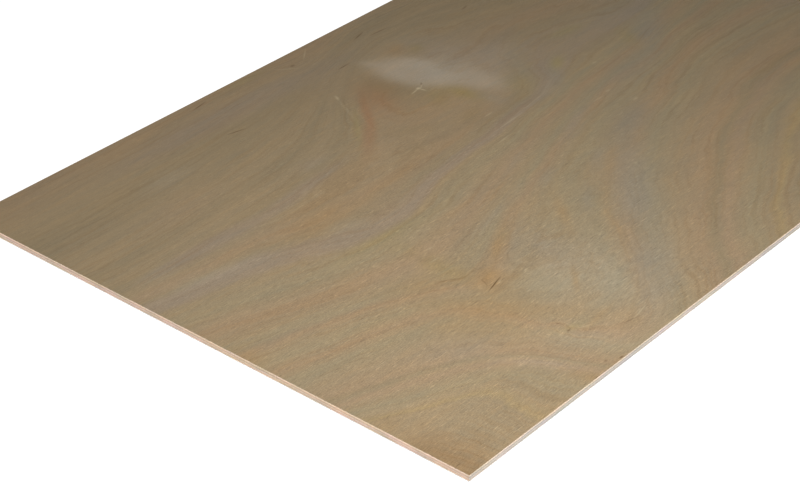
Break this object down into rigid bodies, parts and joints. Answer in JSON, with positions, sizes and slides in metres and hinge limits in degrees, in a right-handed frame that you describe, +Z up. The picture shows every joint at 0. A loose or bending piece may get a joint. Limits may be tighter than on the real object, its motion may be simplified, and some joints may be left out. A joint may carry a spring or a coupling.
{
  "type": "plywood sheet",
  "caption": "Flat rectangular plywood sheet of cross-laid wood veneers, with eased face edges, used as sheathing, decking, formwork or furniture panel stock.",
  "frame": {"origin": "middle of the sheet's underside", "axes": "+X along the sheet's length and the grain of its face, +Y across its width, +Z up out of its face"},
  "size_m": [2.4384, 1.2192, 0.0127],
  "materials": {
    "face_wood": "matte",
    "crossband_wood": "matte",
    "core_wood": "matte"
  },
  "bodies": {
    "root": {"face_veneer": "face_wood", "upper_crossband": "crossband_wood", "core_veneer": "core_wood", "lower_crossband": "crossband_wood", "back_veneer": "face_wood"}
  },
  "joints": []
}
